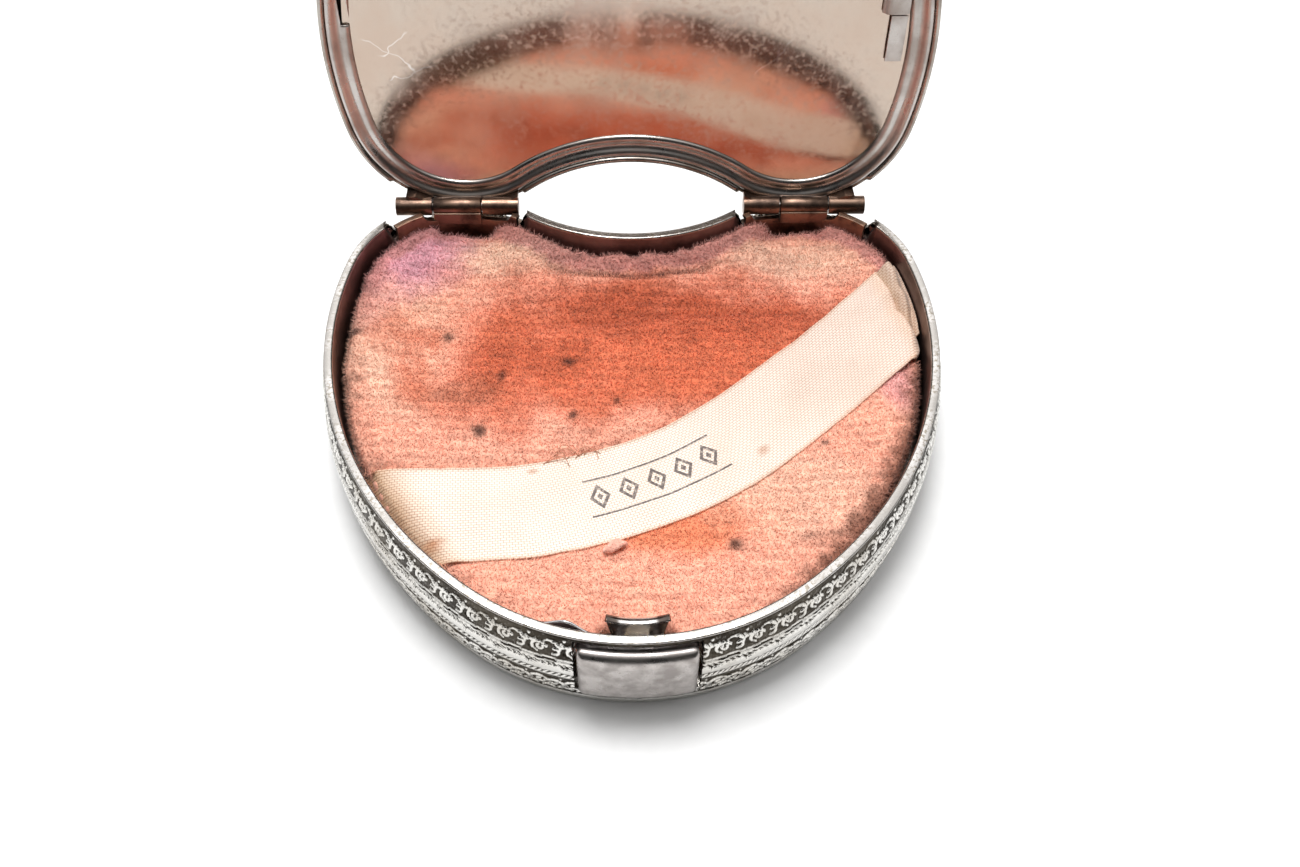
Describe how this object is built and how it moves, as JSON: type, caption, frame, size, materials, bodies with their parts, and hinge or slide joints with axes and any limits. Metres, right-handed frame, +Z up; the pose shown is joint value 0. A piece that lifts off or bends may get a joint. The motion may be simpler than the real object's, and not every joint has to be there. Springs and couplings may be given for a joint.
{
  "type": "powder compact",
  "caption": "Heart-shaped powder compact, hinged open: mirrored lid, embossed metal base, push-button catch, ribbed velour puff with a satin strap.",
  "frame": {"origin": "middle of the heart-shaped face the base rests on", "axes": "+X to the right of someone facing the push button, +Y from the button towards the hinges, +Z up; the lid is open at rest"},
  "size_m": [0.0596, 0.0633, 0.0603],
  "materials": {
    "plain_nickel": "plain nickel-silver sheet, lightly tarnished",
    "embossed_nickel": "embossed nickel-silver strip with dark recesses",
    "polished_nickel": "smooth nickel, handled bright",
    "brass_sheet": "thin bare brass",
    "pressed_powder": "pressed face powder, matt",
    "cotton_filling": "cotton wadding",
    "coral_velour": "ribbed cotton velour, faded and stained",
    "cream_satin": "woven satin ribbon",
    "steel_pin": "darkened steel wire",
    "mirror_silvering": "clouded old mirror",
    "grey_card": "grey board",
    "satin_steel": "satin nickel with polished edges",
    "spring_strip": "spring strip"
  },
  "bodies": {
    "base": {"bottom_plate": "plain_nickel", "side_band": "embossed_nickel", "inner_collar": "polished_nickel", "powder_pan": "brass_sheet", "powder_cake": "pressed_powder", "puff_filling": "cotton_filling", "puff_face": "coral_velour", "puff_underside": "coral_velour", "puff_ribbon": "cream_satin", "hinge_left_base_knuckle": "plain_nickel", "hinge_right_base_knuckle": "plain_nickel", "latch_spring": "spring_strip", "spring_rivets": "steel_pin"},
    "lid": {"lid_shell": "plain_nickel", "mirror_glass": "mirror_silvering", "mirror_backing_card": "grey_card", "mirror_bezel": "polished_nickel", "mirror_clip": "polished_nickel", "bezel_end_strip": "polished_nickel", "lid_striker": "plain_nickel", "hinge_left_lid_knuckles": "plain_nickel", "hinge_right_lid_knuckles": "plain_nickel", "hinge_left_pin": "steel_pin", "hinge_right_pin": "steel_pin"},
    "latch": {"latch_button": "satin_steel", "latch_catch": "polished_nickel", "latch_rivets": "steel_pin"}
  },
  "joints": [
    {"name": "lid_hinge", "type": "hinge", "parent": "base", "child": "lid", "pos_m": [0, 0.0253, 0.0094], "axis": [1, 0, 0], "range_deg": [0, 96.6]},
    {"name": "latch_press", "type": "slide", "parent": "base", "child": "latch", "axis": [0, 1, 0], "range_m": [0, 0.0006], "stiffness_N_per_m": 600, "deforming": ["latch_spring"]}
  ]
}
